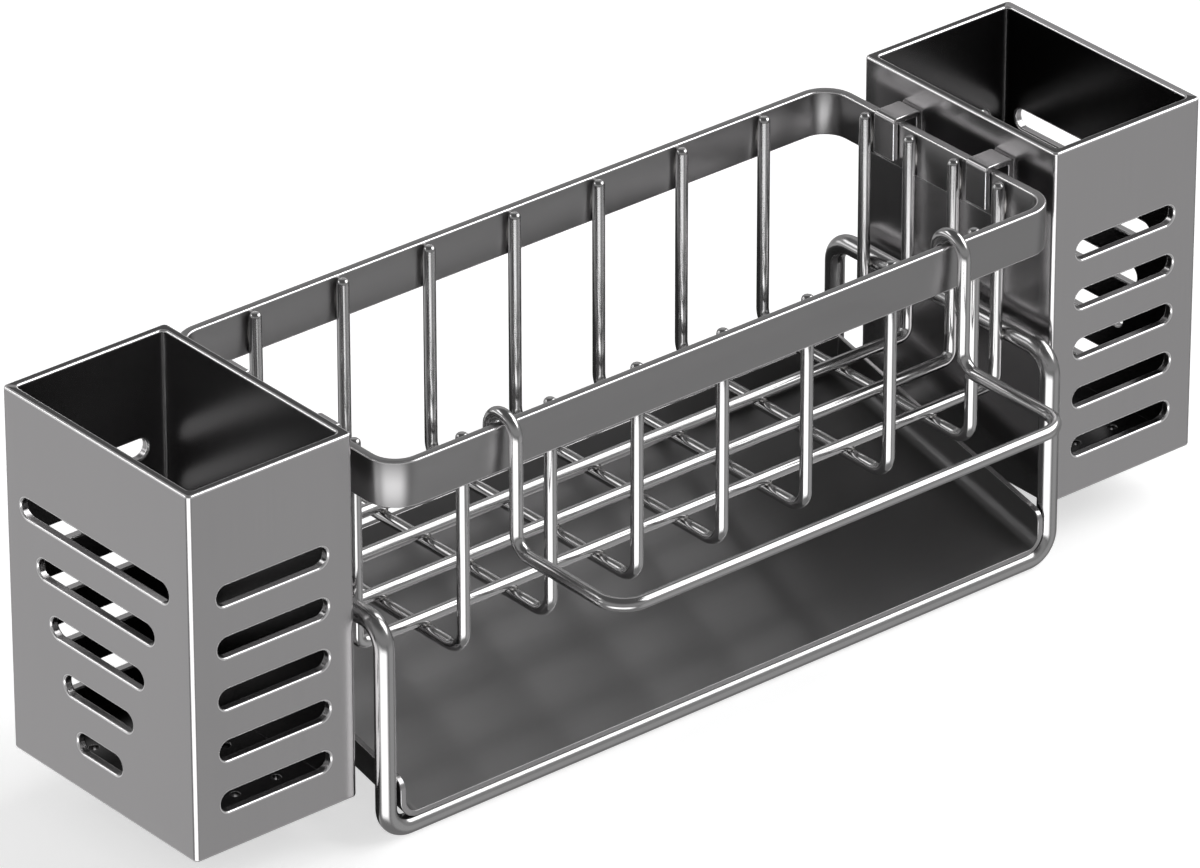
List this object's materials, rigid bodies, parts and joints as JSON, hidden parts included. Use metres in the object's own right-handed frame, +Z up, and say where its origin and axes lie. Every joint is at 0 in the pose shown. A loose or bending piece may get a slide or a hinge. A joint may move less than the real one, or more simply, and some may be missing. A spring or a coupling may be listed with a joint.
{
  "type": "kitchen sink caddy",
  "caption": "Steel sink caddy: wire basket with a flat-bar rim on a loop stand, sloping drip tray, slotted utensil boxes hung on its ends and a hook-on towel rail.",
  "frame": {"origin": "middle of the footprint of the whole caddy, on the plane it stands on", "axes": "+X along the basket to its right end as seen from the towel rail, +Y from the towel rail to the back, +Z up"},
  "size_m": [0.393, 0.1606, 0.1365],
  "materials": {
    "box_steel": "satin dark grey sheet steel",
    "bar_steel": "satin dark grey flat bar",
    "wire_steel": "polished dark grey wire",
    "tray_steel": "smooth dark grey sheet steel"
  },
  "bodies": {
    "base": {"rim": "bar_steel", "cross_wire_1": "wire_steel", "cross_wire_2": "wire_steel", "cross_wire_3": "wire_steel", "cross_wire_4": "wire_steel", "cross_wire_5": "wire_steel", "cross_wire_6": "wire_steel", "cross_wire_7": "wire_steel", "long_wire_1": "wire_steel", "long_wire_2": "wire_steel", "long_wire_3": "wire_steel", "long_wire_4": "wire_steel", "stand_frame": "wire_steel", "tray_rest_wire": "wire_steel"},
    "drip_tray": {"drip_tray": "tray_steel"},
    "left_box": {"left_box_shell": "box_steel", "left_box_floor": "box_steel", "left_box_hook_front": "box_steel", "left_box_hook_rear": "box_steel"},
    "right_box": {"right_box_shell": "box_steel", "right_box_floor": "box_steel", "right_box_hook_front": "box_steel", "right_box_hook_rear": "box_steel"},
    "towel_rail": {"towel_rail": "wire_steel"}
  },
  "joints": [
    {"name": "left_box_lift", "type": "slide", "parent": "base", "child": "left_box", "axis": [0, 0, 1], "range_m": [0, 0.04]},
    {"name": "right_box_lift", "type": "slide", "parent": "base", "child": "right_box", "axis": [0, 0, 1], "range_m": [0, 0.04]},
    {"name": "towel_rail_lift", "type": "slide", "parent": "base", "child": "towel_rail", "axis": [0, 0, 1], "range_m": [0, 0.03]},
    {"name": "drip_tray_slide", "type": "slide", "parent": "base", "child": "drip_tray", "axis": [0, -1, 0], "range_m": [0, 0.12]}
  ]
}
